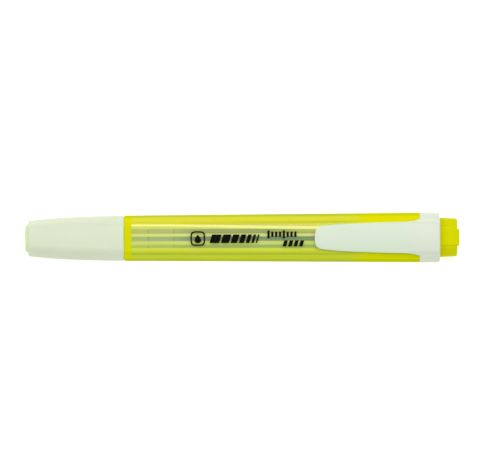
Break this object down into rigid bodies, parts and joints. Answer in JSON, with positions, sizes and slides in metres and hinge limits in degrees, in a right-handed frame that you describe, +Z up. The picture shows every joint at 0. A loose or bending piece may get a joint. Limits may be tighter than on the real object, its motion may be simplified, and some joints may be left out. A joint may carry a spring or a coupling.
{
  "type": "pocket highlighter",
  "caption": "Slim flat highlighter with a ribbed clear barrel, a soft pull-off cap over a chisel nib, and a sprung pocket clip.",
  "frame": {"origin": "on the surface the pen lies on, under the middle of its length and width", "axes": "+X along the pen from the cap to the tail plug, +Y across it, +Z up out of the face with the pocket clip"},
  "size_m": [0.136, 0.0158, 0.0138],
  "materials": {
    "clear_barrel": "clear yellow, polished",
    "yellow_plastic": "opaque fluorescent yellow, satin gloss",
    "core_plastic": "milky pale yellow-green, satin gloss",
    "pale_plastic": "pale green-white, satin",
    "soft_sleeve": "pale, soft and matte",
    "felt": "pressed felt soaked with yellow ink",
    "ink_fibre": "fibre bundle soaked with ink",
    "film": "thin tinted film",
    "seal": "natural, satin"
  },
  "bodies": {
    "pen": {"barrel": "clear_barrel", "front_section": "yellow_plastic", "nib": "felt", "ink_store": "ink_fibre", "store_film": "film", "tail_plug": "yellow_plastic", "clip_collar": "pale_plastic"},
    "cap": {"cap_sleeve": "soft_sleeve", "cap_core": "core_plastic", "inner_seal": "seal"},
    "clip": {"clip_arm": "pale_plastic"}
  },
  "joints": [
    {"name": "cap_pull", "type": "slide", "parent": "pen", "child": "cap", "axis": [-1, 0, 0], "range_m": [0, 0.042]},
    {"name": "clip_flex", "type": "hinge", "parent": "pen", "child": "clip", "pos_m": [0.0546, 0, 0.0138], "axis": [0, 1, 0], "range_deg": [0, 6], "stiffness_Nm_per_rad": 0.5}
  ]
}
